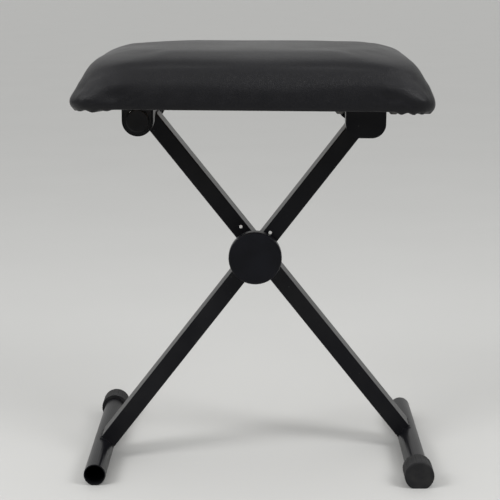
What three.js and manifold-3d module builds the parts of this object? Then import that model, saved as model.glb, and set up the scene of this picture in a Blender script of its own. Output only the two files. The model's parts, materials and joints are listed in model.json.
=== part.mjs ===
// Folding single-X piano bench: padded seat on two crossed legs with a pull knob at the pivot.
// Units are millimetres, +Z is up, +X runs across the seat, and the knob faces -Y.
// The origin is on the floor under the middle of the bench.
import * as THREE from 'three';
import { mergeVertices } from 'three/addons/utils/BufferGeometryUtils.js';
import Module from 'manifold-3d';

const wasm = await Module();
wasm.setup();

// ---- driving dimensions ----
const gap = 0.3;                                   // clearance between pieces that touch
const halfAngle = THREE.MathUtils.degToRad(38.16); // each leg from the vertical
const lowerArm = 303.4;                            // pivot to foot tube axis
const upperArm = 211.5;                            // pivot to cross tube axis

const legWidth = 20;                               // leg tube across the bench
const legDepth = 40;                               // leg tube front to back
const legWall = 1.5;
const legCorner = 1.2;
const legGap = 1.4;                                // between the two legs
const legFootStandOff = 12;                        // square cut end to foot tube axis

const tubeRadius = 12.7;                           // foot tubes and cross tubes
const tubeWall = 1.2;
const weldGap = 0.6;                               // coped leg ends to the tubes they meet

const footLength = 278;
const footMiddleY = { a: -2.5, b: 6.2 };
const footAxisHeight = 13.5;
const footTilt = 1.6 / footLength;                 // capped end stands higher than the bare end
const footToe = { a: 0, b: THREE.MathUtils.degToRad(0.8) }; // turned outwards at the rear

const capRadius = 17;
const capGrip = 27.5;                              // depth of a cap's bore
const capSlip = { a: 0, b: 12.5 };                 // how far each cap has slipped off its tube
const capEnd = 3.5;
const capRibs = 18;
const capGroove = 0.5;

const hingeTubeHalf = 101.7;                       // cross tube A, half length
const guideTubeHalf = 107.2;                       // cross tube B, half length
const plugLip = 2;
const plugSpigot = 8;
const plugChamfer = 0.8;

const seatDropHinge = 18.5;                        // board underside above cross tube A
const seatDropGuide = 14.9;                        // board underside above cross tube B
const boardHalfX = 194.2;
const boardHalfY = 153.5;
const boardThickness = 12;
const boardCorner = 24;
const coverSkin = 1.2;
const coverFit = 0.6;                              // between the board's edge and the cover
const coverMargin = 22;                            // width of the cover wrapped under the board
const cushionHeight = 64.8;                        // board underside to the middle of the seat
const cushionShoulder = 105;                       // how far in the crown runs from each side

const strapBore = 15.9;
const strapThickness = 1.9;
const strapWidth = 22;
const strapMiddleY = 89;
const bushStandOut = 1;                            // bush beyond each edge of its strap
const bracketHalfLength = 37;
const screwOffset = 29.7;                          // bracket middle to each screw

const guidePlateY = 112;                           // outer face of the guide plate
const guideHalfWidth = 22.5;
const guideShift = -5.4;                           // guide middle to the resting cross tube
const guideBelowTube = 20;
const guideCorner = 16;
const guideLipDepth = 20;
const guideLipReach = 6.5;                         // lip past the guide middle
const guideFlangeDepth = 18;
const guideSheet = 2;

const screwHeadRadius = 5.7;
const screwHeadHeight = 4.6;
const screwShankRadius = 2;
const screwSlotWidth = 1;
const screwSlotDepth = 1.6;
const screwReach = 10.5;                           // shank above the flange's lower face

const shaftRadius = 5;
const knobRadius = 31.3;
const knobFront = 61;
const knobRimBack = 46.5;
const knobRound = 2.6;
const knobCavity = 10.5;                           // radius of the bore round the nut and spring
const nutRadius = 8;                               // across the corners
const nutThickness = 3;
const shaftHeadRadius = 8.5;
const shaftHeadThickness = 5;
const shaftFlat = 8;                               // width of the shaft where the knob slides on it
const springRadius = 7.6;
const springWire = 0.5;
const washerRadius = 9.5;
const sleeveRadius = 8;
const knobTravel = 3;
const clutchInner = 12;
const clutchOuter = 24;
const clutchTeeth = 18;
const clutchToothDepth = 1.4;
const ringPlate = 1.6;                             // fixed ring behind its teeth
const slidingPlate = 2;                            // sliding ring behind its teeth

const rivetAlong = 32.5;                           // rivet above the pivot, along the leg
const rivetAcross = 3;                             // rivet off the leg's middle line
const rivetShank = 1.4;
const rivetHead = 2;
const rivetHeadHeight = 0.6;

// ---- derived places ----
const pivotHeight = footAxisHeight + lowerArm * Math.cos(halfAngle);
const footX = lowerArm * Math.sin(halfAngle);
const crossX = upperArm * Math.sin(halfAngle);
const crossZ = pivotHeight + upperArm * Math.cos(halfAngle);
const seatTilt = Math.asin((seatDropHinge - seatDropGuide) / (2 * crossX));
const legFaceY = legGap / 2;
const legBackY = legFaceY + legDepth;
const flangeTop = seatDropHinge - gap;             // hinge bracket, above the tube axis

// ---- finishes ----
function finish(colour, roughness, metalness) {
  return new THREE.MeshStandardMaterial({ color: colour, roughness, metalness });
}
const finishes = {
  paint: finish(0x1b1c20, 0.4, 0.35),
  rubber: finish(0x26262a, 0.8, 0),
  plastic: finish(0x1f2026, 0.5, 0),
  vinyl: finish(0x2a2b30, 0.55, 0),
  foam: finish(0xd9cfa8, 0.95, 0),
  plywood: finish(0xb08f62, 0.8, 0),
  steel: finish(0xb9bcc0, 0.3, 1),
  darkSteel: finish(0x303236, 0.4, 0.8),
};

// ---- solids ----
function solid(geometry) {
  const bare = geometry.clone();
  bare.deleteAttribute('normal');
  bare.deleteAttribute('uv');
  const merged = mergeVertices(bare, 1e-4);
  return new wasm.Manifold(new wasm.Mesh({
    numProp: 3,
    vertProperties: new Float32Array(merged.attributes.position.array),
    triVerts: new Uint32Array(merged.index.array),
  }));
}

function fromSolid(manifold) {
  const mesh = manifold.getMesh();
  const geometry = new THREE.BufferGeometry();
  geometry.setAttribute('position', new THREE.BufferAttribute(mesh.vertProperties, 3));
  geometry.setIndex(new THREE.BufferAttribute(mesh.triVerts, 1));
  geometry.computeVertexNormals();
  return geometry;
}

function cut(base, ...tools) {
  return fromSolid(tools.reduce((body, tool) => body.subtract(solid(tool)), solid(base)));
}

function join(base, ...others) {
  return fromSolid(others.reduce((body, other) => body.add(solid(other)), solid(base)));
}

function common(a, b) {
  return fromSolid(solid(a).intersect(solid(b)));
}

// A section drawn in X and Z, swept from y0 to y1.
function alongY(shape, y0, y1, curveSegments = 8) {
  const depth = y1 - y0;
  const geometry = new THREE.ExtrudeGeometry(shape, { depth, bevelEnabled: false, curveSegments });
  return geometry.rotateX(Math.PI / 2).translate(0, y1, 0);
}

// A section drawn in X and Y, swept from z0 to z1.
function alongZ(shape, z0, z1, curveSegments = 8) {
  const depth = z1 - z0;
  const geometry = new THREE.ExtrudeGeometry(shape, { depth, bevelEnabled: false, curveSegments });
  return geometry.translate(0, 0, z0);
}

function box(x0, x1, y0, y1, z0, z1) {
  const geometry = new THREE.BoxGeometry(x1 - x0, y1 - y0, z1 - z0);
  return geometry.translate((x0 + x1) / 2, (y0 + y1) / 2, (z0 + z1) / 2);
}

// A round bar on the Y axis.
function barY(radius, y0, y1, sides = 32) {
  return new THREE.CylinderGeometry(radius, radius, y1 - y0, sides).translate(0, (y0 + y1) / 2, 0);
}

// A round bar on the Z axis.
function barZ(radius, z0, z1, sides = 10) {
  const bar = new THREE.CylinderGeometry(radius, radius, z1 - z0, sides).rotateX(Math.PI / 2);
  return bar.translate(0, 0, (z0 + z1) / 2);
}

function ringY(outer, inner, y0, y1, sides = 32) {
  return cut(barY(outer, y0, y1, sides), barY(inner, y0 - 1, y1 + 1, sides));
}

function roundedRect(halfX, halfY, corner) {
  const shape = new THREE.Shape();
  shape.moveTo(-halfX + corner, -halfY);
  shape.lineTo(halfX - corner, -halfY);
  shape.absarc(halfX - corner, -halfY + corner, corner, -Math.PI / 2, 0);
  shape.lineTo(halfX, halfY - corner);
  shape.absarc(halfX - corner, halfY - corner, corner, 0, Math.PI / 2);
  shape.lineTo(-halfX + corner, halfY);
  shape.absarc(-halfX + corner, halfY - corner, corner, Math.PI / 2, Math.PI);
  shape.lineTo(-halfX, -halfY + corner);
  shape.absarc(-halfX + corner, -halfY + corner, corner, Math.PI, Math.PI * 1.5);
  return shape;
}

// A closed solid through level rings that all have the same number of points.
function loft(rings) {
  const count = rings[0].length;
  const positions = rings.flat().flatMap((p) => [p.x, p.y, p.z]);
  const index = [];
  for (let r = 0; r + 1 < rings.length; r += 1) {
    for (let i = 0; i < count; i += 1) {
      const a = r * count + i;
      const b = r * count + ((i + 1) % count);
      index.push(a, b, b + count, a, b + count, a + count);
    }
  }
  for (const [start, turned] of [[0, true], [(rings.length - 1) * count, false]]) {
    const centre = positions.length / 3;
    positions.push(0, 0, positions[start * 3 + 2]);
    for (let i = 0; i < count; i += 1) {
      const a = start + i;
      const b = start + ((i + 1) % count);
      index.push(...(turned ? [b, a, centre] : [a, b, centre]));
    }
  }
  const geometry = new THREE.BufferGeometry();
  geometry.setAttribute('position', new THREE.BufferAttribute(new Float32Array(positions), 3));
  geometry.setIndex(index);
  geometry.computeVertexNormals();
  return geometry;
}

// ---- placing ----
const bench = new THREE.Group();

function add(parent, name, geometry, material) {
  const mesh = new THREE.Mesh(geometry, material);
  mesh.name = name;
  parent.add(mesh);
  return mesh;
}

// ---- seat: everything below is drawn from the middle of the board's underside ----
const seatHinge = new THREE.Group();
seatHinge.position.set(-crossX, 0, crossZ);
seatHinge.rotation.y = seatTilt;
bench.add(seatHinge);
const deck = new THREE.Group();
deck.position.set(crossX - seatDropHinge * Math.sin(seatTilt), 0, seatDropHinge);
seatHinge.add(deck);
const hingeX = -deck.position.x;
const guideX = hingeX + 2 * crossX;

function cushionRing(inset, shoulder, z) {
  const outset = coverFit + coverSkin - inset;
  const halfX = boardHalfX + outset - shoulder;
  const halfY = boardHalfY + outset - shoulder * 0.92;
  const corner = boardCorner + outset + shoulder * 0.25;
  const points = roundedRect(halfX, halfY, corner).getPoints(4).slice(0, -1);
  return points.map((p) => new THREE.Vector3(p.x, p.y, z));
}

// The crowned block of the seat, drawn in by an inset from the cover's outer face.
function cushion(inset, zBottom) {
  const steps = 7;
  const start = boardThickness / 2;
  const rings = [cushionRing(inset, 0, zBottom)];
  for (let i = 0; i <= steps; i += 1) {
    const turn = (i / steps) * Math.PI / 2;
    const shoulder = cushionShoulder * (1 - Math.cos(turn)) ** 1.5;
    const z = start + (cushionHeight - start) * Math.sin(turn) ** 0.9 - inset * Math.sin(turn);
    if (z > zBottom + 1) rings.push(cushionRing(inset, shoulder, z));
  }
  return loft(rings);
}

function deckScrewPlaces() {
  const places = [];
  for (const [end, side] of [['front', -1], ['rear', 1]]) {
    for (const [way, sign] of [['outer', -1], ['inner', 1]]) {
      const x = hingeX + sign * screwOffset;
      places.push({ name: `hinge_screw_${end}_${way}`, x, y: side * strapMiddleY });
    }
    for (const [way, sign] of [['inner', -1], ['outer', 1]]) {
      const x = guideX + guideShift + sign * screwOffset;
      const y = side * (guidePlateY + guideFlangeDepth / 2);
      places.push({ name: `guide_screw_${end}_${way}`, x, y });
    }
  }
  return places;
}

function makeBoard() {
  const blank = alongZ(roundedRect(boardHalfX, boardHalfY, boardCorner), 0, boardThickness, 5);
  const pilots = deckScrewPlaces().map(
    (p) => barZ(screwShankRadius + gap, -1, screwReach + 0.5).translate(p.x, p.y, 0));
  return cut(blank, ...pilots);
}

function makeCover() {
  const outer = cushion(0, -gap - coverSkin);
  const inner = cushion(coverSkin, -gap);
  const opening = roundedRect(boardHalfX - coverMargin, boardHalfY - coverMargin, boardCorner / 2);
  return cut(outer, inner, alongZ(opening, -gap - coverSkin - 1, 1, 3));
}

add(deck, 'seat_board', makeBoard(), finishes.plywood);
add(deck, 'seat_foam', cushion(coverSkin + gap, boardThickness + gap), finishes.foam);
add(deck, 'seat_cover', makeCover(), finishes.vinyl);

// Round-bottomed strap that carries one end of cross tube A.
function makeHingeStrap(side) {
  const outer = strapBore + strapThickness;
  const lip = flangeTop - strapThickness;
  const strap = new THREE.Shape();
  strap.moveTo(-bracketHalfLength, lip);
  strap.lineTo(-outer, lip);
  strap.lineTo(-outer, 0);
  strap.absarc(0, 0, outer, Math.PI, Math.PI * 2);
  strap.lineTo(outer, lip);
  strap.lineTo(bracketHalfLength, lip);
  strap.lineTo(bracketHalfLength, flangeTop);
  strap.lineTo(strapBore, flangeTop);
  strap.lineTo(strapBore, 0);
  strap.absarc(0, 0, strapBore, 0, -Math.PI, true);
  strap.lineTo(-strapBore, flangeTop);
  strap.lineTo(-bracketHalfLength, flangeTop);
  const y = side * strapMiddleY;
  const holes = [-screwOffset, screwOffset].map(
    (x) => barZ(screwShankRadius + gap, lip - 1, flangeTop + 1).translate(x, y, 0));
  return cut(alongY(strap, y - strapWidth / 2, y + strapWidth / 2, 10), ...holes);
}

// Plate, inner wall and lower lip that keep cross tube B under the board; open on the outer side.
function makeGuide(side) {
  const top = seatDropGuide - gap;
  const bottom = -guideBelowTube;
  const left = guideShift - guideHalfWidth;
  const right = guideShift + guideHalfWidth;
  const arcX = left + guideCorner;
  const arcZ = bottom + guideCorner;
  const plate = new THREE.Shape();
  plate.moveTo(left, top);
  plate.lineTo(left, arcZ);
  plate.absarc(arcX, arcZ, guideCorner, Math.PI, Math.PI * 1.5);
  plate.lineTo(right - guideCorner, bottom);
  plate.absarc(right - guideCorner, arcZ, guideCorner, -Math.PI / 2, 0);
  plate.lineTo(right, top);
  const lip = new THREE.Shape();
  lip.moveTo(left, top);
  lip.lineTo(left, arcZ);
  lip.absarc(arcX, arcZ, guideCorner, Math.PI, Math.PI * 1.5);
  lip.lineTo(guideShift + guideLipReach, bottom);
  lip.lineTo(guideShift + guideLipReach, bottom + guideSheet);
  lip.lineTo(arcX, bottom + guideSheet);
  lip.absarc(arcX, arcZ, guideCorner - guideSheet, Math.PI * 1.5, Math.PI, true);
  lip.lineTo(left + guideSheet, top);
  const outerY = side * guidePlateY;
  const innerY = side * (guidePlateY - guideSheet);
  const lipEnd = side * (guidePlateY - guideSheet - guideLipDepth);
  const flangeEnd = side * (guidePlateY + guideFlangeDepth);
  const span = (a, b) => [Math.min(a, b), Math.max(a, b)];
  const flange = box(guideShift - bracketHalfLength, guideShift + bracketHalfLength,
    ...span(innerY, flangeEnd), top - strapThickness, top);
  const wall = alongY(plate, ...span(outerY, innerY));
  const body = join(wall, alongY(lip, ...span(outerY - side, lipEnd)), flange);
  const screwY = side * (guidePlateY + guideFlangeDepth / 2);
  const hole = barZ(screwShankRadius + gap, top - strapThickness - 1, top + 1);
  const holes = [-screwOffset, screwOffset].map(
    (x) => hole.clone().translate(guideShift + x, screwY, 0));
  return cut(body, ...holes);
}

function makeScrew() {
  const face = -gap - strapThickness - gap;
  const head = new THREE.LatheGeometry([
    [0, -screwHeadHeight],
    [screwHeadRadius * 0.6, -screwHeadHeight * 0.92],
    [screwHeadRadius, -screwHeadHeight * 0.35],
    [screwHeadRadius, 0],
    [screwShankRadius, 0],
    [screwShankRadius, screwReach - 1.5],
    [0, screwReach],
  ].map(([r, z]) => new THREE.Vector2(r, z)), 12).rotateX(Math.PI / 2);
  const slotHalf = screwHeadRadius / 2;
  const slot = box(-slotHalf, slotHalf, -screwSlotWidth / 2, screwSlotWidth / 2,
    -screwHeadHeight - 1, screwSlotDepth - screwHeadHeight);
  return cut(head, slot, slot.clone().rotateZ(Math.PI / 2)).translate(0, 0, face);
}

// Plastic block that fills the strap and carries the turning cross tube.
function makeBush(side) {
  const radius = strapBore - gap;
  const top = flangeTop - gap;
  const outline = new THREE.Shape();
  outline.moveTo(radius, top);
  outline.lineTo(-radius, top);
  outline.lineTo(-radius, 0);
  outline.absarc(0, 0, radius, Math.PI, Math.PI * 2);
  outline.lineTo(radius, top);
  const y = side * strapMiddleY;
  const half = strapWidth / 2 + bushStandOut;
  const bore = barY(tubeRadius + gap, y - half - 1, y + half + 1, 32);
  return cut(alongY(outline, y - half, y + half, 12), bore);
}

for (const [end, side] of [['front', -1], ['rear', 1]]) {
  const strap = add(seatHinge, `hinge_bracket_${end}`, makeHingeStrap(side), finishes.paint);
  add(strap, `hinge_bush_${end}`, makeBush(side), finishes.plastic);
  const guide = add(deck, `guide_bracket_${end}`, makeGuide(side), finishes.paint);
  guide.position.set(guideX, 0, -seatDropGuide);
}
for (const place of deckScrewPlaces()) {
  add(deck, place.name, makeScrew(), finishes.darkSteel).position.set(place.x, place.y, 0);
}

// ---- legs: drawn along Z from the pivot, side is -1 for the front leg and 1 for the back leg ----
function makeLeg(side) {
  const middleY = side * (legFaceY + legDepth / 2);
  const outline = roundedRect(legWidth / 2, legDepth / 2, legCorner);
  outline.holes.push(roundedRect(legWidth / 2 - legWall, legDepth / 2 - legWall, legCorner / 2));
  const blank = alongZ(outline, legFootStandOff - lowerArm, upperArm, 1).translate(0, middleY, 0);
  const cope = barY(tubeRadius + weldGap, -legBackY - 1, legBackY + 1, 28);
  const bore = barY(shaftRadius + gap, -legBackY - 1, legBackY + 1, 16);
  const rivetHole = barY(rivetShank + gap, -legBackY - 1, legBackY + 1, 10);
  return cut(
    blank,
    cope.clone().translate(0, 0, upperArm),
    cope.clone().translate(0, 0, -lowerArm),
    bore,
    rivetHole.translate(side * rivetAcross, 0, rivetAlong),
  );
}

function makeTube(halfLength) {
  return ringY(tubeRadius, tubeRadius - tubeWall, -halfLength, halfLength);
}

function makePlug(halfLength, side) {
  const spigot = tubeRadius - tubeWall - gap;
  const end = plugSpigot + plugLip;
  const plug = new THREE.LatheGeometry([
    [0, 0],
    [spigot - 1, 0],
    [spigot, plugSpigot / 4],
    [spigot, plugSpigot],
    [tubeRadius, plugSpigot],
    [tubeRadius, end - plugChamfer],
    [tubeRadius - plugChamfer, end],
    [0, end],
  ].map(([r, y]) => new THREE.Vector2(r, y)), 24);
  plug.translate(0, halfLength - plugSpigot + gap, 0);
  return side < 0 ? plug.rotateX(Math.PI) : plug;
}

function makeCap() {
  const outline = new THREE.Shape();
  const pitch = (Math.PI * 2) / capRibs;
  for (let i = 0; i < capRibs; i += 1) {
    const ribEdges = [[0, 0], [0.62, 0], [0.8, capGroove]];
    for (const [share, depth] of ribEdges) {
      const turn = (i + share) * pitch;
      const point = [(capRadius - depth) * Math.cos(turn), (capRadius - depth) * Math.sin(turn)];
      if (i === 0 && share === 0) outline.moveTo(...point);
      else outline.lineTo(...point);
    }
  }
  const grip = alongY(outline, -capGrip, 0);
  const rounding = new THREE.LatheGeometry([
    [0, -1], [capRadius, -1], [capRadius, capEnd - 1.5], [capRadius - 0.5, capEnd - 0.5],
    [capRadius - 1.5, capEnd], [0, capEnd],
  ].map(([r, y]) => new THREE.Vector2(r, y)), 32);
  return cut(join(grip, rounding), barY(tubeRadius + gap, -capGrip - 1, gap, 24));
}

// A foot tube with one rubber cap; capSide is -1 for a cap at the front and 1 at the rear.
function addFoot(parent, letter, x, capSide) {
  const foot = new THREE.Group();
  const legMiddleY = -capSide * (legGap + legDepth) / 2;
  const toe = footToe[letter];
  const offset = (footMiddleY[letter] - legMiddleY) * Math.sin(toe);
  foot.position.set(x - offset, footMiddleY[letter], footAxisHeight);
  foot.rotation.set(capSide * footTilt, 0, toe);
  parent.add(foot);
  add(foot, `foot_tube_${letter}`, makeTube(footLength / 2), finishes.paint);
  foot.updateMatrixWorld();
  const cap = makeCap().translate(0, footLength / 2 + capSlip[letter], 0);
  if (capSide < 0) cap.rotateZ(Math.PI);
  cap.applyMatrix4(foot.matrix);
  const below = box(x - 30, x + 30, -footLength, footLength, -20, 0);
  add(parent, `foot_cap_${letter}`, cut(cap, below), finishes.rubber);
}

function addLeg(letter, side, crossHalf) {
  const leg = new THREE.Group();
  leg.position.z = pivotHeight;
  leg.rotation.y = -side * halfAngle;
  bench.add(leg);
  add(leg, `leg_tube_${letter}`, makeLeg(side), finishes.paint);
  const cross = add(leg, `cross_tube_${letter}`, makeTube(crossHalf), finishes.paint);
  cross.position.z = upperArm;
  for (const [end, way] of [['front', -1], ['rear', 1]]) {
    add(cross, `cross_plug_${letter}_${end}`, makePlug(crossHalf, way), finishes.plastic);
  }
  const sleeveY = side * (legFaceY + legDepth / 2);
  const sleeveHalf = legDepth / 2 - legWall - gap;
  const sleeve = ringY(sleeveRadius, shaftRadius + gap, sleeveY - sleeveHalf, sleeveY + sleeveHalf, 24);
  add(leg, `pivot_sleeve_${letter}`, sleeve, finishes.darkSteel);
  const faceY = side < 0 ? -legBackY : legFaceY;
  const headBack = faceY - gap;
  const shank = barY(rivetShank, headBack - rivetHeadHeight / 2, faceY + legDepth - 1, 16);
  const rivet = join(shank, barY(rivetHead, headBack - rivetHeadHeight, headBack, 16));
  const placed = add(leg, `stop_rivet_${letter}`, rivet, finishes.steel);
  placed.position.set(side * rivetAcross, 0, rivetAlong);
  addFoot(bench, letter, side * footX, -side);
  return leg;
}

const legA = addLeg('a', 1, hingeTubeHalf);
const legB = addLeg('b', -1, guideTubeHalf);

// ---- pivot, clutch and knob: on the Y axis through the pivot ----
// A ring with radial teeth; they rise from the root towards -Y for way -1 and towards +Y for way 1.
function toothedRing(back, root, way) {
  const count = clutchTeeth * 2;
  const positions = [];
  const index = [];
  for (let i = 0; i < count; i += 1) {
    const turn = (i / count) * Math.PI * 2;
    const crest = root + (i % 2 ? way * clutchToothDepth : 0);
    const corners = [[clutchInner, back], [clutchOuter, back], [clutchOuter, crest], [clutchInner, crest]];
    for (const [r, y] of corners) {
      positions.push(r * Math.cos(turn), y, r * Math.sin(turn));
    }
  }
  for (let i = 0; i < count; i += 1) {
    const here = i * 4;
    const next = ((i + 1) % count) * 4;
    for (let k = 0; k < 4; k += 1) {
      const m = (k + 1) % 4;
      const quad = [here + k, here + m, next + m, here + k, next + m, next + k];
      index.push(...(way < 0 ? quad.reverse() : quad));
    }
  }
  const ring = new THREE.BufferGeometry();
  ring.setAttribute('position', new THREE.BufferAttribute(new Float32Array(positions), 3));
  ring.setIndex(index);
  ring.computeVertexNormals();
  return ring;
}

function flattened(bar, width) {
  return common(bar, box(-20, 20, -80, 80, -width / 2, width / 2));
}

function hexagon(radius, y0, y1) {
  return barY(radius, y0, y1, 6);
}

const ringFace = -legBackY - gap;                    // fixed clutch ring on the front leg
const ringRoot = ringFace - ringPlate;
const slidingCrest = ringRoot - clutchToothDepth - gap;
const slidingRoot = slidingCrest - clutchToothDepth;
const slidingFront = slidingRoot - slidingPlate;
const nutFront = -58;
const nutBack = nutFront + nutThickness;

const pivot = new THREE.Group();
pivot.position.z = pivotHeight;
bench.add(pivot);
const pivotA = new THREE.Group();                    // turns with the back leg
pivotA.rotation.y = -halfAngle;
pivot.add(pivotA);

function makeShaft() {
  const round = barY(shaftRadius, ringRoot, legBackY + 1, 24);
  const flat = flattened(barY(shaftRadius, nutFront - 0.4, ringRoot + 0.5, 24), shaftFlat);
  const head = hexagon(shaftHeadRadius, legBackY + gap, legBackY + shaftHeadThickness);
  return join(round, flat, head);
}

function makeSlidingRing() {
  const plate = barY(clutchOuter, slidingFront, slidingRoot + 0.01, clutchTeeth * 2);
  const ring = toothedRing(slidingRoot - 1, slidingRoot, 1);
  const bore = barY(shaftRadius + gap, slidingFront - 1, slidingRoot + 1, 24);
  return cut(join(plate, ring), flattened(bore, shaftFlat + 2 * gap));
}

function makeKnob() {
  const hubBack = slidingFront - gap;
  const profile = [[0, -knobFront]];
  for (let i = 0; i <= 3; i += 1) {
    const turn = (i / 3) * Math.PI / 2;
    const r = knobRadius - knobRound * (1 - Math.sin(turn));
    profile.push([r, -knobFront + knobRound * (1 - Math.cos(turn))]);
  }
  profile.push([knobRadius, -knobRimBack - 1]);
  profile.push([knobRadius - 1, -knobRimBack]);
  profile.push([clutchOuter + 1, -knobRimBack]);
  profile.push([clutchOuter + 1, hubBack]);
  profile.push([0, hubBack]);
  const body = new THREE.LatheGeometry(profile.map(([r, y]) => new THREE.Vector2(r, y)), 40);
  return cut(body, barY(knobCavity, nutFront - 1, hubBack + 1, 24));
}

function makeSpring() {
  const turns = 2;
  const front = nutBack + gap + springWire;
  const back = slidingFront - knobTravel - gap - springWire;
  const points = [];
  const steps = turns * 12;
  for (let i = 0; i <= steps; i += 1) {
    const turn = (i / steps) * turns * Math.PI * 2;
    const y = front + (back - front) * (i / steps);
    points.push(new THREE.Vector3(springRadius * Math.cos(turn), y, springRadius * Math.sin(turn)));
  }
  const section = new THREE.Shape().absarc(0, 0, springWire, 0, Math.PI * 2);
  const extrudePath = new THREE.CatmullRomCurve3(points);
  return new THREE.ExtrudeGeometry(section, { steps, curveSegments: 3, bevelEnabled: false, extrudePath });
}

function makeNut() {
  const bore = barY(shaftRadius + gap, nutFront - 1, nutBack + 1, 24);
  return cut(hexagon(nutRadius, nutFront, nutBack), bore);
}

function makeWasher() {
  const half = legGap / 2 - gap;
  return ringY(washerRadius, shaftRadius + gap, -half, half, 24);
}

add(pivotA, 'pivot_shaft', makeShaft(), finishes.steel);
add(pivotA, 'pivot_washer', makeWasher(), finishes.plastic);
add(pivotA, 'shaft_nut', makeNut(), finishes.steel);
add(pivotA, 'knob_spring', makeSpring(), finishes.steel);
add(pivotA, 'clutch_ring_knob', makeSlidingRing(), finishes.darkSteel);
add(pivotA, 'knob', makeKnob(), finishes.plastic);
add(legB, 'clutch_ring_leg', toothedRing(ringFace, ringRoot, -1), finishes.darkSteel);

export default bench;
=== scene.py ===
import json
import math

import bmesh
import bpy
from mathutils import Matrix, Vector, noise


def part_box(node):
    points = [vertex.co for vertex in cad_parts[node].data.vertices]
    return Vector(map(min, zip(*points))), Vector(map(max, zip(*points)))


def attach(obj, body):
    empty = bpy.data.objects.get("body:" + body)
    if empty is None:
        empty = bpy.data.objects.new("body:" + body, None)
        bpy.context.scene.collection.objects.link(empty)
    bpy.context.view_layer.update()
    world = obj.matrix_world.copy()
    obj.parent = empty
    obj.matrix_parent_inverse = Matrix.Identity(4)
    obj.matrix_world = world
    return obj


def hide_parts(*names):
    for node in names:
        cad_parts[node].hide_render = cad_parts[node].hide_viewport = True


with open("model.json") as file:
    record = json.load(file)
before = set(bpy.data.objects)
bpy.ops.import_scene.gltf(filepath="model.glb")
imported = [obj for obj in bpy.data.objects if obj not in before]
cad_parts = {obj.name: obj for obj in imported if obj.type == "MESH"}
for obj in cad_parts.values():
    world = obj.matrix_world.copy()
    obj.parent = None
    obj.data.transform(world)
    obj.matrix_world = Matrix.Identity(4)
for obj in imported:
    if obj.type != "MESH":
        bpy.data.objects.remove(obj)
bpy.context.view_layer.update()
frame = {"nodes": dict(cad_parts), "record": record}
mm = 0.001
mergeDistance = 0.000005


def clearSelection():
    if bpy.context.object and bpy.context.object.mode != "OBJECT":
        bpy.ops.object.mode_set(mode="OBJECT")
    bpy.ops.object.select_all(action="DESELECT")


def pickOnly(piece):
    clearSelection()
    piece.select_set(True)
    bpy.context.view_layer.objects.active = piece


def nameActive(name):
    piece = bpy.context.object
    piece.name = name
    piece.data.name = name
    return piece


def applyPlace(piece):
    pickOnly(piece)
    bpy.ops.object.transform_apply(location=True, rotation=True, scale=True)


def applyModifier(piece, kind, **settings):
    pickOnly(piece)
    modifier = piece.modifiers.new(kind.lower(), kind)
    for key, value in settings.items():
        setattr(modifier, key, value)
    bpy.ops.object.modifier_apply(modifier=modifier.name)


def selectWhere(piece, part, test):
    # selects vertices, edges or faces of a piece in edit mode by a test on each one
    pickOnly(piece)
    bpy.ops.object.mode_set(mode="EDIT")
    bpy.ops.mesh.select_mode(type={"verts": "VERT", "edges": "EDGE", "faces": "FACE"}[part])
    bpy.ops.mesh.select_all(action="DESELECT")
    mesh = bmesh.from_edit_mesh(piece.data)
    for element in getattr(mesh, part):
        if test(element):
            element.select_set(True)
    mesh.select_flush_mode()
    bmesh.update_edit_mesh(piece.data)


def leaveEdit():
    bpy.ops.object.mode_set(mode="OBJECT")


def fixNormals(piece):
    pickOnly(piece)
    bpy.ops.object.mode_set(mode="EDIT")
    bpy.ops.mesh.select_all(action="SELECT")
    bpy.ops.mesh.remove_doubles(threshold=mergeDistance)
    bpy.ops.mesh.normals_make_consistent(inside=False)
    leaveEdit()


def smoothByAngle(piece, degrees):
    pickOnly(piece)
    bpy.ops.object.shade_smooth_by_angle(angle=math.radians(degrees))


def finishPiece(piece, material, body):
    piece.data.materials.clear()
    piece.data.materials.append(material)
    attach(piece, body)


def smoothStep(low, high, value):
    t = max(0.0, min(1.0, (value - low) / (high - low)))
    return t * t * (3 - 2 * t)


viewer = {
    "focal": 108.0,                       # lens and sensor width in millimetres
    "sensor": 36.0,
    "farthest": 100,
    "place": (0.0237, -1.7808, 0.5906),
    "pitchDown": 0.1885,                  # angles in radians
    "yaw": -0.0172,
    "roll": -0.0072,
}


def placeCamera():
    pitch, yaw, roll = viewer["pitchDown"], viewer["yaw"], viewer["roll"]
    level = Vector((math.sin(yaw) * math.cos(pitch), math.cos(yaw) * math.cos(pitch), 0))
    ahead = Vector((level.x, level.y, -math.sin(pitch)))
    right = Vector((math.cos(yaw), -math.sin(yaw), 0))
    up = right.cross(ahead)
    rolledRight = right * math.cos(roll) + up * math.sin(roll)
    rolledUp = up * math.cos(roll) - right * math.sin(roll)
    turn = Matrix((rolledRight, rolledUp, -ahead)).transposed()
    bpy.ops.object.camera_add(location=viewer["place"], rotation=turn.to_euler())
    camera = bpy.context.object
    camera.name = "viewCamera"
    camera.data.lens = viewer["focal"]
    camera.data.sensor_width = viewer["sensor"]
    camera.data.clip_end = viewer["farthest"]
    bpy.context.scene.camera = camera


placeCamera()
print("camera placed")


def startMaterial(name, color, roughness, metallic=0.0):
    material = bpy.data.materials.new(name)
    material.use_nodes = True
    tree = material.node_tree
    shader = tree.nodes["Principled BSDF"]
    shader.inputs["Base Color"].default_value = (*color, 1)
    shader.inputs["Roughness"].default_value = roughness
    shader.inputs["Metallic"].default_value = metallic
    place = tree.nodes.new("ShaderNodeTexCoord").outputs["Object"]
    return material, tree, shader, place


def stretch(tree, place, scale, turn=(0, 0, 0)):
    mapping = tree.nodes.new("ShaderNodeMapping")
    mapping.inputs["Scale"].default_value = scale
    mapping.inputs["Rotation"].default_value = turn
    tree.links.new(place, mapping.inputs["Vector"])
    return mapping.outputs["Vector"]


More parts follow.
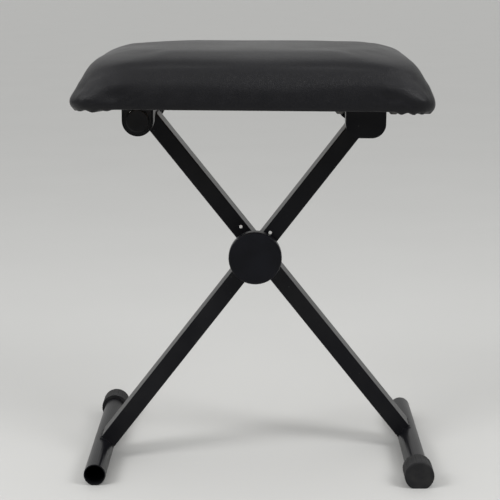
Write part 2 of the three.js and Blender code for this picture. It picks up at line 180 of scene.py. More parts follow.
def cloud(tree, place, scale, detail, distortion=0.0):
    texture = tree.nodes.new("ShaderNodeTexNoise")
    texture.inputs["Scale"].default_value = scale
    texture.inputs["Detail"].default_value = detail
    texture.inputs["Distortion"].default_value = distortion
    tree.links.new(place, texture.inputs["Vector"])
    return texture.outputs["Fac"]


def cells(tree, place, scale):
    texture = tree.nodes.new("ShaderNodeTexVoronoi")
    texture.feature = "DISTANCE_TO_EDGE"
    texture.inputs["Scale"].default_value = scale
    tree.links.new(place, texture.inputs["Vector"])
    return texture.outputs["Distance"]


def spread(tree, value, source, target):
    # maps one range of a pattern onto another range
    ramp = tree.nodes.new("ShaderNodeMapRange")
    ramp.inputs["From Min"].default_value, ramp.inputs["From Max"].default_value = source
    ramp.inputs["To Min"].default_value, ramp.inputs["To Max"].default_value = target
    tree.links.new(value, ramp.inputs["Value"])
    return ramp.outputs["Result"]


def blendColor(tree, amount, colorA, colorB):
    mix = tree.nodes.new("ShaderNodeMix")
    mix.data_type = "RGBA"
    tree.links.new(amount, mix.inputs["Factor"])
    for socket, color in ((mix.inputs[6], colorA), (mix.inputs[7], colorB)):
        if isinstance(color, tuple):
            socket.default_value = (*color, 1)
        else:
            tree.links.new(color, socket)
    return mix.outputs[2]


def addUp(tree, a, b, share):
    total = tree.nodes.new("ShaderNodeMath")
    total.operation = "MULTIPLY_ADD"
    tree.links.new(b, total.inputs[0])
    total.inputs[1].default_value = share
    tree.links.new(a, total.inputs[2])
    return total.outputs[0]


def relief(tree, shader, height, distance, strength):
    bump = tree.nodes.new("ShaderNodeBump")
    bump.inputs["Distance"].default_value = distance
    bump.inputs["Strength"].default_value = strength
    tree.links.new(height, bump.inputs["Height"])
    tree.links.new(bump.outputs["Normal"], shader.inputs["Normal"])


def link(tree, value, shader, socket):
    tree.links.new(value, shader.inputs[socket])


def setShine(shader, level):
    shader.inputs["Specular IOR Level"].default_value = level


# patterns are given as (scale, detail) or (scale, detail, distortion), reliefs as (depth, strength),
# and a "from" range is the part of a pattern that is used
paintLook = {
    "color": (0.0046, 0.0047, 0.0062),
    "dusty": (0.0105, 0.0105, 0.0115),
    "scuff": (0.085, 0.084, 0.082),
    "plainRough": 0.32,
    "rough": (0.28, 0.35),
    "shine": 0.12,
    "patches": (14, 4),
    "dustyFrom": (0.42, 0.72),
    "roughFrom": (0.3, 0.75),
    "streaks": (6, 5, 0.6),
    "streakStretch": (60, 9, 60),
    "streakTurn": (0.5, 0.2, 0.9),
    "streakHeight": 0.4,
    "rubbedFrom": (0.70, 0.78),
    "rubbedTo": (0, 0.8),
    "peel": (420, 2),
    "relief": (0.00012, 0.35),
}


def makePaint():
    # satin black enamel on steel tube
    look = paintLook
    material, tree, shader, place = startMaterial("blackEnamel", look["color"], look["plainRough"])
    patches = cloud(tree, place, *look["patches"])
    dusty = blendColor(tree, spread(tree, patches, look["dustyFrom"], (0, 1)), look["color"], look["dusty"])
    turned = stretch(tree, place, look["streakStretch"], look["streakTurn"])
    streaks = cloud(tree, turned, *look["streaks"])
    rubbed = spread(tree, streaks, look["rubbedFrom"], look["rubbedTo"])
    link(tree, blendColor(tree, rubbed, dusty, look["scuff"]), shader, "Base Color")
    link(tree, spread(tree, patches, look["roughFrom"], look["rough"]), shader, "Roughness")
    peel = cloud(tree, place, *look["peel"])
    relief(tree, shader, addUp(tree, peel, streaks, look["streakHeight"]), *look["relief"])
    setShine(shader, look["shine"])
    return material


vinylLook = {
    "color": (0.0036, 0.0036, 0.0048),
    "worn": (0.0075, 0.0075, 0.0090),
    "plainRough": 0.46,
    "rough": (0.43, 0.31),                # where it is handled least and most
    "shine": 0.21,
    "warpScale": 240,
    "warp": 0.0016,
    "grainScale": 620,
    "pebbleFrom": (0.0, 0.28),
    "pores": (1500, 2),
    "poreHeight": 0.35,
    "poreRough": 0.06,
    "soft": (34, 3),
    "softHeight": 1.6,
    "handled": (7, 3),
    "wornFrom": (0.40, 0.75),
    "wornTo": (0, 0.8),
    "roughFrom": (0.3, 0.7),
    "relief": (0.00022, 0.55),
}


def makeVinyl():
    # black synthetic leather with a fine pebbled grain
    look = vinylLook
    material, tree, shader, place = startMaterial("blackVinyl", look["color"], look["plainRough"])
    warp = tree.nodes.new("ShaderNodeTexNoise")
    warp.inputs["Scale"].default_value = look["warpScale"]
    tree.links.new(place, warp.inputs["Vector"])
    shifted = tree.nodes.new("ShaderNodeVectorMath")
    shifted.operation = "MULTIPLY_ADD"
    tree.links.new(warp.outputs["Color"], shifted.inputs[0])
    shifted.inputs[1].default_value = (look["warp"],) * 3
    tree.links.new(place, shifted.inputs[2])
    grain = cells(tree, shifted.outputs["Vector"], look["grainScale"])
    pebble = spread(tree, grain, look["pebbleFrom"], (0, 1))
    pores = cloud(tree, place, *look["pores"])
    soft = cloud(tree, place, *look["soft"])
    handled = cloud(tree, place, *look["handled"])
    wear = spread(tree, handled, look["wornFrom"], look["wornTo"])
    link(tree, blendColor(tree, wear, look["color"], look["worn"]), shader, "Base Color")
    rough = spread(tree, handled, look["roughFrom"], look["rough"])
    link(tree, addUp(tree, rough, pores, look["poreRough"]), shader, "Roughness")
    fine = addUp(tree, pebble, pores, look["poreHeight"])
    relief(tree, shader, addUp(tree, fine, soft, look["softHeight"]), *look["relief"])
    setShine(shader, look["shine"])
    return material


plywoodLook = {
    "light": (0.52, 0.36, 0.20),
    "dark": (0.33, 0.20, 0.10),
    "stain": (0.20, 0.12, 0.065),
    "plainRough": 0.62,
    "rough": (0.52, 0.74),
    "bands": (5.5, 6, 1.4),
    "bandStretch": (1.2, 16, 16),
    "bandHeight": 0.5,
    "darkFrom": (0.35, 0.66),
    "fibres": (9, 3),
    "fibreStretch": (3, 150, 150),
    "stainFrom": (0.58, 0.72),
    "stainTo": (0, 0.55),
    "roughFrom": (0.3, 0.7),
    "relief": (0.0003, 0.5),
}


def makePlywood():
    # sanded plywood face, its veneer grain along the bench
    look = plywoodLook
    material, tree, shader, place = startMaterial("plywoodFace", look["light"], look["plainRough"])
    bands = cloud(tree, stretch(tree, place, look["bandStretch"]), *look["bands"])
    fibres = cloud(tree, stretch(tree, place, look["fibreStretch"]), *look["fibres"])
    face = blendColor(tree, spread(tree, bands, look["darkFrom"], (0, 1)), look["light"], look["dark"])
    marks = spread(tree, fibres, look["stainFrom"], look["stainTo"])
    link(tree, blendColor(tree, marks, face, look["stain"]), shader, "Base Color")
    link(tree, spread(tree, fibres, look["roughFrom"], look["rough"]), shader, "Roughness")
    relief(tree, shader, addUp(tree, fibres, bands, look["bandHeight"]), *look["relief"])
    return material


rubberLook = {
    "color": (0.011, 0.011, 0.012),
    "dusty": (0.030, 0.029, 0.028),
    "plainRough": 0.7,
    "rough": (0.55, 0.82),
    "shine": 0.2,
    "dust": (55, 5),
    "dustyFrom": (0.45, 0.72),
    "dustyTo": (0, 0.8),
    "roughFrom": (0.3, 0.7),
    "grain": (1300, 3),
    "relief": (0.0001, 0.5),
}


def makeRubber():
    # moulded black rubber, dusty in patches
    look = rubberLook
    material, tree, shader, place = startMaterial("blackRubber", look["color"], look["plainRough"])
    dust = cloud(tree, place, *look["dust"])
    dusty = spread(tree, dust, look["dustyFrom"], look["dustyTo"])
    link(tree, blendColor(tree, dusty, look["color"], look["dusty"]), shader, "Base Color")
    link(tree, spread(tree, dust, look["roughFrom"], look["rough"]), shader, "Roughness")
    relief(tree, shader, cloud(tree, place, *look["grain"]), *look["relief"])
    setShine(shader, look["shine"])
    return material


plasticLook = {
    "tint": (40, 3),
    "lighter": 1.9,
    "tintFrom": (0.35, 0.75),
    "tintTo": (0, 0.8),
    "grainDetail": 3,
    "roughFrom": (0.2, 0.8),
    "roughLess": 0.07,
    "roughMore": 0.09,
    "relief": (0.00008, 0.4),
    "shine": 0.13,
}


def makePlastic(name, color, roughness, grain):
    # injection moulded plastic with a fine spark texture
    look = plasticLook
    material, tree, shader, place = startMaterial(name, color, roughness)
    tint = spread(tree, cloud(tree, place, *look["tint"]), look["tintFrom"], look["tintTo"])
    lighter = tuple(c * look["lighter"] for c in color)
    link(tree, blendColor(tree, tint, color, lighter), shader, "Base Color")
    texture = cloud(tree, place, grain, look["grainDetail"])
    target = (roughness - look["roughLess"], roughness + look["roughMore"])
    link(tree, spread(tree, texture, look["roughFrom"], target), shader, "Roughness")
    relief(tree, shader, texture, *look["relief"])
    setShine(shader, look["shine"])
    return material


steelLook = {
    "marks": (260, 4),
    "markStretch": (1, 1, 7),
    "stain": (90, 4),
    "darker": 0.55,
    "stainFrom": (0.45, 0.75),
    "stainTo": (0, 0.8),
    "roughFrom": (0.25, 0.75),
    "roughLess": 0.08,
    "roughMore": 0.14,
    "relief": (0.00005, 0.35),
}


def makeSteel(name, color, roughness, metallic):
    # plated steel with faint rolling marks
    look = steelLook
    material, tree, shader, place = startMaterial(name, color, roughness, metallic)
    marks = cloud(tree, stretch(tree, place, look["markStretch"]), *look["marks"])
    stain = spread(tree, cloud(tree, place, *look["stain"]), look["stainFrom"], look["stainTo"])
    darker = tuple(c * look["darker"] for c in color)
    link(tree, blendColor(tree, stain, color, darker), shader, "Base Color")
    target = (roughness - look["roughLess"], roughness + look["roughMore"])
    link(tree, spread(tree, marks, look["roughFrom"], target), shader, "Roughness")
    relief(tree, shader, marks, *look["relief"])
    return material


# plastics take a color, a roughness and a grain scale; steels a color, a roughness and a metallic share
finishes = {
    "black_paint": makePaint(),
    "vinyl": makeVinyl(),
    "plywood": makePlywood(),
    "rubber": makeRubber(),
    "black_plastic": makePlastic("mouldedBlack", (0.0085, 0.0085, 0.0092), 0.42, 1600),
    "knob_plastic": makePlastic("knobBlack", (0.0032, 0.0034, 0.0050), 0.36, 2200),
    "dark_steel": makeSteel("blackZinc", (0.085, 0.082, 0.080), 0.38, 0.9),
    "bright_steel": makeSteel("brightZinc", (0.95, 0.95, 0.93), 0.42, 0.2),
}


def dressCadNodes():
    slotNames = {row["slot"] for row in frame["record"]["materials"]}
    for name, node in frame["nodes"].items():
        for slot in node.material_slots:
            given = slot.material.name if slot.material else ""
            wanted = next((s for s in slotNames if given.startswith(s)), None)
            if wanted in finishes:
                slot.material = finishes[wanted]
            else:
                print("plain material kept on", name, given)


dressCadNodes()
print("materials made")


cushionLook = {
    "height": 62.7 * mm,                  # board underside to the crown
    "halfX": 196.0 * mm,
    "halfY": 155.4 * mm,
    "base": -1.5 * mm,
    "corner": 24 * mm,
    "cornerTop": 84 * mm,
    "shoulderX": 60 * mm,
    "shoulderY": 53 * mm,
    "bendX": 1.48,
    "bendY": 1.45,
    "rise": 1.12,
    "crown": 1.5 * mm,
    "topShares": (0.8, 0.6, 0.4, 0.2),    # rings across the top
    "tipRise": 0.04,                      # share of the crown inside the last ring
    "ringSteps": 16,
    "lean": 1.5 * mm,                     # the pad is thicker towards the guide side
    "drift": 1.8 * mm,                    # and its top leans towards the hinge side
    "boardTop": 12 * mm,
    "start": 0.5 * mm,                    # how much smaller the pad is before it is blown up
    "startRise": 0.012,                   # height over which that begins
    "startSink": 0.6,
    "voxel": 4.6 * mm,
    "smoothFrom": (16 * mm, 40 * mm),     # heights where the smoothing begins and is full
    "edgeTop": 4.5 * mm,                  # the lower edge that is drawn tight
    "edgeBand": 3.6 * mm,
    "edgeFlat": 1.2 * mm,
    "margin": 22 * mm,                    # cover wrapped under the board
    "coverWall": 1.8 * mm,
    "pocketFit": 0.3 * mm,
    "pocketCorner": 1.5 * mm,
    "pocketBelow": 12 * mm,
    "sharpAngle": 38,
}


def deckPlace():
    # the board's own frame: origin in the middle of its underside, turned with its slight slope
    low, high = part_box("seat_board")
    size = high - low
    slope = math.asin((size.z - cushionLook["boardTop"]) / size.x)
    middle = (low + high) / 2
    turn = Matrix.Rotation(slope, 4, "Y")
    return Matrix.Translation(middle) @ turn @ Matrix.Translation((0, 0, -cushionLook["boardTop"] / 2))


deck = deckPlace()


def roundedRing(halfX, halfY, corner, z, perCorner=14, perSide=26):
    points = []
    middles = [(1, 1), (-1, 1), (-1, -1), (1, -1)]
    for i, (sx, sy) in enumerate(middles):
        cx, cy = sx * (halfX - corner), sy * (halfY - corner)
        for k in range(perCorner + 1):
            turn = math.pi / 2 * (i + k / perCorner)
            points.append(Vector((cx + corner * math.cos(turn), cy + corner * math.sin(turn), z)))
        nx, ny = middles[(i + 1) % 4]
        following = Vector((nx * (halfX - corner), ny * (halfY - corner), z))
        turn = math.pi / 2 * (i + 1)
        following += Vector((corner * math.cos(turn), corner * math.sin(turn), 0))
        last = points[-1]
        for k in range(1, perSide):
            points.append(last.lerp(following, k / perSide))
    return points


def cushionRings():
    # rings from the wrapped edge up to the crown, a little smaller above the board
    look = cushionLook
    rings = [roundedRing(look["halfX"], look["halfY"], look["corner"], look["base"])]
    for i in range(look["ringSteps"] + 1):
        turn = math.pi / 2 * i / look["ringSteps"]
        flat = 1 - math.cos(turn)
        insetX = look["shoulderX"] * flat ** look["bendX"]
        insetY = look["shoulderY"] * flat ** look["bendY"]
        corner = look["corner"] + (look["cornerTop"] - look["corner"]) * flat
        z = (look["height"] - look["crown"]) * math.sin(turn) ** look["rise"]
        above = z - look["boardTop"]
        keep = 0 if above < 0 else look["start"] * min(1, above / look["startRise"])
        halfX, halfY = look["halfX"] - insetX - keep, look["halfY"] - insetY - keep
        rings.append(roundedRing(halfX, halfY, corner, z - keep * look["startSink"]))
    top = rings[-1]
    for share in look["topShares"]:
        rise = look["crown"] * (1 - share ** 2)
        rings.append([Vector((p.x * share, p.y * share, p.z + rise)) for p in top])
    return rings


def makeCushionShape():
    look = cushionLook
    rings = cushionRings()
    shape = bmesh.new()
    rows = [[shape.verts.new(p) for p in ring] for ring in rings]
    count = len(rows[0])
    for lower, upper in zip(rows, rows[1:]):
        for i in range(count):
            j = (i + 1) % count
            shape.faces.new((lower[i], lower[j], upper[j], upper[i]))
    top = shape.verts.new((0, 0, rings[-1][0].z + look["crown"] * look["tipRise"]))
    bottom = shape.verts.new((0, 0, look["base"]))
    for i in range(count):
        j = (i + 1) % count
        shape.faces.new((rows[-1][i], rows[-1][j], top))
        shape.faces.new((rows[0][j], rows[0][i], bottom))
    mesh = bpy.data.meshes.new("seat_cushion")
    shape.to_mesh(mesh)
    shape.free()
    piece = bpy.data.objects.new("seat_cushion", mesh)
    bpy.context.scene.collection.objects.link(piece)
    return piece


clothLook = {
    "quality": 6,
    "mass": 0.3,
    "tension": 18,
    "compression": 12,
    "shear": 8,
    "bending": 3,
    "pressure": 4,
    "frames": 20,
    "cap": 1.1 * mm,                      # the furthest that a point may move
}


def inflate(piece):
    # the cover is blown up like a cushion, its wrapped edge held on the board
    look = clothLook
    before = [v.co.copy() for v in piece.data.vertices]
    held = piece.vertex_groups.new(name="held")
    onBoard = [v.index for v in piece.data.vertices if v.co.z < cushionLook["boardTop"]]
    held.add(onBoard, 1.0, "REPLACE")
    pickOnly(piece)
    cloth = piece.modifiers.new("cloth", "CLOTH")
    cloth.settings.quality = look["quality"]
    cloth.settings.mass = look["mass"]
    cloth.settings.tension_stiffness = look["tension"]
    cloth.settings.compression_stiffness = look["compression"]
    cloth.settings.shear_stiffness = look["shear"]
    cloth.settings.bending_stiffness = look["bending"]
    cloth.settings.vertex_group_mass = "held"
    cloth.settings.use_pressure = True
    cloth.settings.uniform_pressure_force = look["pressure"]
    cloth.settings.effector_weights.gravity = 0
    cloth.point_cache.frame_start = 1
    cloth.point_cache.frame_end = look["frames"]
    for number in range(1, look["frames"] + 1):
        bpy.context.scene.frame_set(number)
    bpy.ops.object.modifier_apply(modifier=cloth.name)
    bpy.context.scene.frame_set(1)
    for vertex, start in zip(piece.data.vertices, before):
        move = vertex.co - start
        if move.length > 0:
            vertex.co = start + move.normalized() * look["cap"] * math.tanh(move.length / look["cap"])
    piece.vertex_groups.clear()


def edgeDistance(x, y):
    # how far a point stands outside the wrapped edge, and the way outwards
    look = cushionLook
    dx = abs(x) - (look["halfX"] - look["corner"])
    dy = abs(y) - (look["halfY"] - look["corner"])
    sx, sy = math.copysign(1, x), math.copysign(1, y)
    if dx > 0 and dy > 0:
        length = math.hypot(dx, dy)
        return length - look["corner"], Vector((sx * dx / length, sy * dy / length, 0))
    if dx > dy:
        return dx - look["corner"], Vector((sx, 0, 0))
    return dy - look["corner"], Vector((0, sy, 0))


def squareLowerEdge(piece):
    # the wrapped edge lies tight round the board's lower edge
    look = cushionLook
    for vertex in piece.data.vertices:
        distance, outwards = edgeDistance(vertex.co.x, vertex.co.y)
        if vertex.co.z < look["edgeTop"] and distance > -look["edgeBand"]:
            if distance < -look["edgeFlat"]:
                vertex.co.z = look["base"]
            vertex.co -= outwards * distance


foldLook = {
    "underside": -0.6 * mm,               # below this the cover is under the board
    "cornerReach": (-34 * mm, -4 * mm),   # how near both edges the folds of a corner lie
    "sideReach": (-60 * mm, -8 * mm),
    "earOut": {-1: 6.8 * mm, 1: 4.4 * mm},
    "earLow": -9 * mm,
    "earFull": 6 * mm,                    # height where the ear stands out furthest
    "earHeight": 22 * mm,
    "earReach": (-14 * mm, -1 * mm),
    # rolls and creases near each corner, as (distance from the corner, height) in mm,
    # then width and how far they stand out
    "rolls": [
        (((4, 9), (15, 16), (30, 21), (52, 26), (78, 32)), 7.5 * mm, 3.2 * mm),
        (((5, 21), (14, 31), (36, 39), (66, 45), (104, 47), (196, 47)), 3.6 * mm, -1.0 * mm),
        (((40, 2), (52, 10), (72, 18)), 3.2 * mm, 0.7 * mm),
        (((58, 2), (70, 9), (88, 15)), 3.0 * mm, 0.5 * mm),
        (((14, 5), (36, 9)), 3.5 * mm, -0.8 * mm),
    ],
    "rollStart": (-0.1, 0.14),            # shares of a roll's length
    "rollEnd": (0.6, 1.0),
    "rollFade": 0.75,
    "pullDepth": 0.45 * mm,
    "pullPitch": 27 * mm,
    "pullHeight": 7 * mm,
    "endCalm": 0.65,                      # share of the rolls that is left out at the two short ends
    "endFacing": (0.45, 0.8),
    "endFull": 1.9 * mm,                  # the shoulders at the two short ends are a little fuller
    "shoulderReach": (105 * mm, 160 * mm),
    "shoulderHeight": 47 * mm,
    "shoulderSpread": 9 * mm,
    "softDepth": 0.8 * mm,
    "softFrom": (18 * mm, 30 * mm),
    "softScale": 11,
    "fineScale": 24,
    "fineShare": 0.25,
    "gatherDrop": 3.0 * mm,
    "gatherEven": 0.25,
    "gatherPitch": 13 * mm,
    "gatherWander": 2.2,
    "gatherWaves": 90,
    "gatherReach": 44 * mm,
    "gatherFade": 10 * mm,
    "gatherInner": (-20 * mm, -14 * mm),
    "gatherOuter": (-3 * mm, 0),
}


def rollHeight(along, z):
    # how far the cover's rolls stand out at a place on the side of the cushion
    fold = foldLook
    total = 0.0
    here = Vector((along, z))
    for stops, width, height in fold["rolls"]:
        line = [Vector(stop) * mm for stop in stops]
        length = sum((b - a).length for a, b in zip(line, line[1:]))
        nearest, where, passed = 1.0, 0.0, 0.0
        for a, b in zip(line, line[1:]):
            step = b - a
            share = max(0.0, min(1.0, (here - a).dot(step) / step.length_squared))
            gap = (here - a - step * share).length
            if gap < nearest:
                nearest, where = gap, (passed + share * step.length) / length
            passed += step.length
        fading = 1 - fold["rollFade"] * smoothStep(*fold["rollEnd"], where)
        ends = smoothStep(*fold["rollStart"], where) * fading
        total += height * ends * math.exp(-(nearest / width) ** 2)
    return total


def foldCorners(piece):
    # ears, rolls and gathers at the lower corners, small pulls along the lower edge, and soft waves
    look, fold = cushionLook, foldLook
    piece.data.update()
    normals = [v.normal.copy() for v in piece.data.vertices]
    for vertex, normal in zip(piece.data.vertices, normals):
        x, y, z = vertex.co
        distance, outwards = edgeDistance(x, y)
        inX = abs(x) - (look["halfX"] - look["corner"])
        inY = abs(y) - (look["halfY"] - look["corner"])
        along = max(look["halfX"] - abs(x), look["halfY"] - abs(y))
        tight = smoothStep(*fold["cornerReach"], inX) * smoothStep(*fold["cornerReach"], inY)
        onSide = smoothStep(*fold["sideReach"], distance)
        below = smoothStep(fold["earLow"], fold["earFull"], z)
        ear = below * (1 - smoothStep(fold["earFull"], fold["earHeight"], z))
        outermost = smoothStep(*fold["earReach"], distance)
        vertex.co += outwards * fold["earOut"][-1 if x < 0 else 1] * ear * tight * outermost
        if z > fold["underside"] and onSide > 0:
            shortEnd = 1 - fold["endCalm"] * smoothStep(*fold["endFacing"], abs(normal.x))
            vertex.co += normal * rollHeight(along, z) * onSide * shortEnd
            lap = x if abs(normal.y) > abs(normal.x) else y
            pull = math.cos(2 * math.pi * lap / fold["pullPitch"])
            low = math.exp(-((z - fold["pullHeight"]) / fold["pullHeight"]) ** 2)
            vertex.co += normal * fold["pullDepth"] * (1 + pull) * low * (1 - tight)
        elif z < fold["underside"] and distance > fold["gatherInner"][0]:
            wander = fold["gatherWander"] * math.sin(fold["gatherWaves"] * (x + y))
            lump = 0.5 + 0.5 * math.cos(2 * math.pi * along / fold["gatherPitch"] + wander)
            reach = 1 - smoothStep(fold["gatherReach"] - fold["gatherFade"], fold["gatherReach"], along)
            outer = 1 - smoothStep(*fold["gatherOuter"], distance)
            inside = smoothStep(*fold["gatherInner"], distance) * outer
            depth = fold["gatherEven"] + (1 - fold["gatherEven"]) * lump
            vertex.co.z -= fold["gatherDrop"] * depth * reach * inside
        level = math.exp(-((z - fold["shoulderHeight"]) / fold["shoulderSpread"]) ** 2)
        vertex.co += normal * fold["endFull"] * (smoothStep(*fold["shoulderReach"], abs(x)) * level)
        if z > fold["softFrom"][0]:
            here = Vector((x, y, z))
            fine = fold["fineShare"] * noise.noise(here * fold["fineScale"])
            soft = noise.noise(here * fold["softScale"]) + fine
            vertex.co += normal * fold["softDepth"] * soft * smoothStep(*fold["softFrom"], z)


def makePocket():
    # the room for the board, open below inside the wrapped margin
    look = cushionLook
    halfX = look["halfX"] - look["coverWall"] + look["pocketFit"]
    halfY = look["halfY"] - look["coverWall"] + look["pocketFit"]
    height = look["boardTop"] + look["pocketFit"]
    clearSelection()
    size = (2 * halfX, 2 * halfY, height)
    bpy.ops.mesh.primitive_cube_add(size=1, location=(0, 0, height / 2), scale=size)
    piece = nameActive("board_pocket")
    applyPlace(piece)
    selectWhere(piece, "edges", lambda e: abs(e.verts[0].co.z - e.verts[1].co.z) > height / 2)
    bpy.ops.mesh.bevel(offset=look["corner"] - look["pocketCorner"], segments=8, affect="EDGES")
    leaveEdit()
    selectWhere(piece, "faces", lambda f: f.normal.z < -0.9)
    bpy.ops.mesh.inset(thickness=look["margin"])
    down = (0, 0, -look["pocketBelow"])
    bpy.ops.mesh.extrude_region_move(TRANSFORM_OT_translate={"value": down})
    leaveEdit()
    fixNormals(piece)
    return piece


def makeCushion():
    look = cushionLook
    piece = makeCushionShape()
    applyModifier(piece, "REMESH", mode="VOXEL", voxel_size=look["voxel"], adaptivity=0)
    inflate(piece)
    upper = piece.vertex_groups.new(name="upper")
    for vertex in piece.data.vertices:
        upper.add([vertex.index], smoothStep(*look["smoothFrom"], vertex.co.z), "REPLACE")
    applyModifier(piece, "SMOOTH", factor=0.5, iterations=16, vertex_group="upper")
    piece.vertex_groups.clear()
    for vertex in piece.data.vertices:
        share = vertex.co.x / look["halfX"] * max(0, vertex.co.z) / look["height"]
        vertex.co.z += look["lean"] * share
        vertex.co.x -= look["drift"] * smoothStep(look["boardTop"], look["height"], vertex.co.z)
    squareLowerEdge(piece)
    applyModifier(piece, "SUBSURF", levels=1, render_levels=1)
    foldCorners(piece)
    pocket = makePocket()
    applyModifier(piece, "BOOLEAN", operation="DIFFERENCE", object=pocket, solver="EXACT")
    bpy.data.objects.remove(pocket)
    piece.data.transform(deck)
    fixNormals(piece)
    smoothByAngle(piece, look["sharpAngle"])
    finishPiece(piece, finishes["vinyl"], "seat")
    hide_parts("seat_cover", "seat_foam")
    crown = max(v.co.z for v in piece.data.vertices)
    print("cushion", len(piece.data.polygons), "faces, crown", round(crown, 4))


makeCushion()


stapleLook = {
    "crown": 10 * mm,
    "wire": 1.2 * mm,
    "thick": 0.5 * mm,
    "leg": 3 * mm,
    "legStart": 1.2,                      # in wire widths from the end
    "bevel": 0.12 * mm,
    "sink": 0.3,
    "inset": 9.5 * mm,
    "endGap": 30 * mm,
    "perLong": 13,
    "perShort": 9,
    "turnLoose": 0.16,                    # how unevenly they are shot in
    "turnStep": 12.9,
    "turnAlong": 310,
    "placeLoose": 1.1 * mm,
    "placeStep": 7.7,
    "placeStart": 1.3,
    "sharpAngle": 30,
}


def makeStaple():
    look = stapleLook
    clearSelection()
    bpy.ops.mesh.primitive_cube_add(size=1, scale=(look["crown"], look["wire"], look["thick"]))
    piece = nameActive("staple_pattern")
    applyPlace(piece)
    selectWhere(piece, "edges", lambda e: abs(e.verts[0].co.x - e.verts[1].co.x) > look["crown"] / 2)
    bpy.ops.mesh.subdivide(number_cuts=6)
    leaveEdit()
    limit = look["crown"] / 2 - look["wire"] * look["legStart"]
    selectWhere(piece, "faces", lambda f: f.normal.z > 0.9 and abs(f.calc_center_median().x) > limit)
    bpy.ops.mesh.extrude_region_move(TRANSFORM_OT_translate={"value": (0, 0, look["leg"])})
    leaveEdit()
    fixNormals(piece)
    applyModifier(piece, "BEVEL", width=look["bevel"], segments=1, limit_method="ANGLE")
    return piece


def stapleRow(pattern, name, places):
    # one row of staples along an edge, each turned a little differently
    look = stapleLook
    depth = cushionLook["base"] - look["thick"] * look["sink"]
    copies = []
    for i, (x, y, turn) in enumerate(places):
        copy = pattern.copy()
        copy.data = pattern.data.copy()
        bpy.context.scene.collection.objects.link(copy)
        loose = look["turnLoose"] * math.sin(look["turnStep"] * i + look["turnAlong"] * x)
        drift = look["placeLoose"] * math.sin(look["placeStep"] * i + look["placeStart"])
        local = Matrix.Translation((x, y + drift, depth))
        copy.data.transform(deck @ local @ Matrix.Rotation(turn + loose, 4, "Z"))
        copies.append(copy)
    clearSelection()
    for copy in copies:
        copy.select_set(True)
    bpy.context.view_layer.objects.active = copies[0]
    bpy.ops.object.join()
    piece = nameActive(name)
    smoothByAngle(piece, look["sharpAngle"])
    finishPiece(piece, finishes["bright_steel"], "seat")


def evenStops(span, count):
    return [span * (2 * i / (count - 1) - 1) for i in range(count)]


def makeStaples():
    look = stapleLook
    pattern = makeStaple()
    edgeX = cushionLook["halfX"] - look["inset"]
    edgeY = cushionLook["halfY"] - look["inset"]
    alongX = evenStops(edgeX - look["endGap"], look["perLong"])
    alongY = evenStops(edgeY - look["endGap"], look["perShort"])
    for name, side in (("staples_front", -1), ("staples_rear", 1)):
        stapleRow(pattern, name, [(x, side * edgeY, 0.0) for x in alongX])
    for name, side in (("staples_left", -1), ("staples_right", 1)):
        stapleRow(pattern, name, [(side * edgeX, y, math.pi / 2) for y in alongY])
    bpy.data.objects.remove(pattern)


makeStaples()
print("staples made")


weldLook = {
    "legAcross": 20 * mm,
    "legDeep": 40 * mm,
    "inset": 1 * mm,
    "corner": 1.6 * mm,
    "tube": 12.7 * mm,                    # radius of the round tubes
    "crossBead": 1.3 * mm,
    "footBead": 1.2 * mm,
    "ripple": 0.16,
    "pitch": 1.7 * mm,
    "lump": 0.22,
    "lumpScale": 210,
    "step": 0.8 * mm,
    "sharpAngle": 60,
}


def middleOf(name):
    low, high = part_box(name)
    return (low + high) / 2


def beadPath(axis, legMiddleY, towards):
    # a closed line round the leg's end, lying where it meets the round tube
    look = weldLook
    across = Vector((towards.z, 0, -towards.x))
    halfAcross = look["legAcross"] / 2 - look["inset"]
    halfDeep = look["legDeep"] / 2 - look["inset"]
    outline = roundedRing(halfAcross, halfDeep, look["corner"], 0, perCorner=4, perSide=28)
    points = []
    for p in outline:
        reach = math.sqrt(max(look["tube"] ** 2 - p.x ** 2, 0))
        points.append(Vector((axis.x, legMiddleY + p.y, axis.z)) + across * p.x + towards * reach)
    return points


def evenPoints(points, step):
    # points at even steps along a closed line, each with its distance from the start
    even = []
    travelled = 0.0
    target = 0.0
    closed = points + [points[0]]
    for a, b in zip(closed, closed[1:]):
        length = (b - a).length
        while target <= travelled + length and length > 0:
            even.append((a.lerp(b, (target - travelled) / length), target))
            target += step
        travelled += length
    return even


def makeBead(name, body, axis, legMiddleY, towards, radius):
    look = weldLook
    even = evenPoints(beadPath(axis, legMiddleY, towards), look["step"])
    clearSelection()
    bpy.ops.curve.primitive_bezier_circle_add()
    piece = nameActive(name)
    piece.location = (0, 0, 0)
    curve = piece.data
    curve.splines.clear()
    spline = curve.splines.new("POLY")
    spline.points.add(len(even) - 1)
    for point, (place, length) in zip(spline.points, even):
        point.co = (*place, 1)
        ripple = math.cos(2 * math.pi * length / look["pitch"])
        lump = noise.noise(place * look["lumpScale"])
        point.radius = 1 + look["ripple"] * ripple + look["lump"] * lump
    spline.use_cyclic_u = True
    curve.dimensions = "3D"
    curve.bevel_depth = radius
    curve.bevel_resolution = 2
    pickOnly(piece)
    bpy.ops.object.convert(target="MESH")
    piece = bpy.context.object
    fixNormals(piece)
    smoothByAngle(piece, look["sharpAngle"])
    finishPiece(piece, finishes["black_paint"], body)


def makeWelds():
    pivot = middleOf("pivot_sleeve_a")
    for leg in "ab":
        legMiddleY = middleOf(f"leg_tube_{leg}").y
        for tube in ("cross", "foot"):
            axis = middleOf(f"{tube}_tube_{leg}")
            towards = Vector((pivot.x - axis.x, 0, pivot.z - axis.z)).normalized()
            radius = weldLook[f"{tube}Bead"]
            makeBead(f"{tube}_weld_{leg}", f"leg_{leg}", axis, legMiddleY, towards, radius)


makeWelds()
print("welds made")


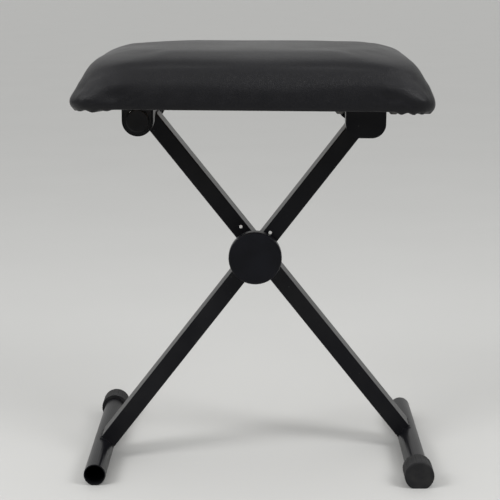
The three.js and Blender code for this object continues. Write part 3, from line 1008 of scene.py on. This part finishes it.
studio = {
    "floorColor": (0.50, 0.50, 0.49),
    "floorDarker": 0.985,
    "floorSize": 60,
    "floorRough": 0.6,
    "floorShine": 0.1,
    "floorTone": (3, 3),
    "toneFrom": (0.35, 0.65),
    "wallColor": (0.63, 0.63, 0.62),
    "roomColor": (0.035, 0.035, 0.035),
    "wallFrom": (-0.25, 0.75),
    "skyStrength": 1.0,
    "keyTurn": (8, -5),                   # degrees about X and Y
    "keyPower": 2.05,
    "keySpread": 125,
    "sidePlace": (1.5, -1.1, 1.7),
    "sideTarget": (0, 0, 0.3),
    "sideSize": (0.9, 0.9),
    "sidePower": 27,
}


def addSoftbox(name, side):
    x, y, z = studio["sidePlace"]
    place = (side * x, y, z)
    direction = Vector(studio["sideTarget"]) - Vector(place)
    turn = direction.to_track_quat("-Z", "Y").to_euler()
    bpy.ops.object.light_add(type="AREA", location=place, rotation=turn)
    light = bpy.context.object
    light.name = name
    light.data.shape = "RECTANGLE"
    light.data.size, light.data.size_y = studio["sideSize"]
    light.data.energy = studio["sidePower"]


def makeFloor():
    clearSelection()
    bpy.ops.mesh.primitive_plane_add(size=studio["floorSize"])
    floor = nameActive("studio_floor")
    color = studio["floorColor"]
    material, tree, shader, place = startMaterial("paleFloor", color, studio["floorRough"])
    tone = spread(tree, cloud(tree, place, *studio["floorTone"]), studio["toneFrom"], (0, 1))
    darker = tuple(c * studio["floorDarker"] for c in color)
    link(tree, blendColor(tree, tone, color, darker), shader, "Base Color")
    setShine(shader, studio["floorShine"])
    floor.data.materials.append(material)


def makeSky():
    # a pale wall behind the bench and a darker room in front of it; the camera only sees the wall
    world = bpy.data.worlds.new("studioSky")
    bpy.context.scene.world = world
    world.use_nodes = True
    tree = world.node_tree
    sky = tree.nodes["Background"]
    sky.inputs["Strength"].default_value = studio["skyStrength"]
    way = tree.nodes.new("ShaderNodeSeparateXYZ")
    tree.links.new(tree.nodes.new("ShaderNodeTexCoord").outputs["Generated"], way.inputs["Vector"])
    wall = spread(tree, way.outputs["Y"], studio["wallFrom"], (0, 1))
    around = blendColor(tree, wall, studio["roomColor"], studio["wallColor"])
    seen = tree.nodes.new("ShaderNodeLightPath").outputs["Is Camera Ray"]
    tree.links.new(blendColor(tree, seen, around, studio["wallColor"]), sky.inputs["Color"])


def makeStudio():
    makeFloor()
    makeSky()
    turnX, turnY = studio["keyTurn"]
    bpy.ops.object.light_add(type="SUN", rotation=(math.radians(turnX), math.radians(turnY), 0))
    key = bpy.context.object
    key.name = "ceilingLight"
    key.data.energy = studio["keyPower"]
    key.data.angle = math.radians(studio["keySpread"])
    addSoftbox("leftSoftbox", -1)
    addSoftbox("rightSoftbox", 1)
    bpy.context.scene.view_settings.view_transform = "Standard"


makeStudio()
print("studio lit")
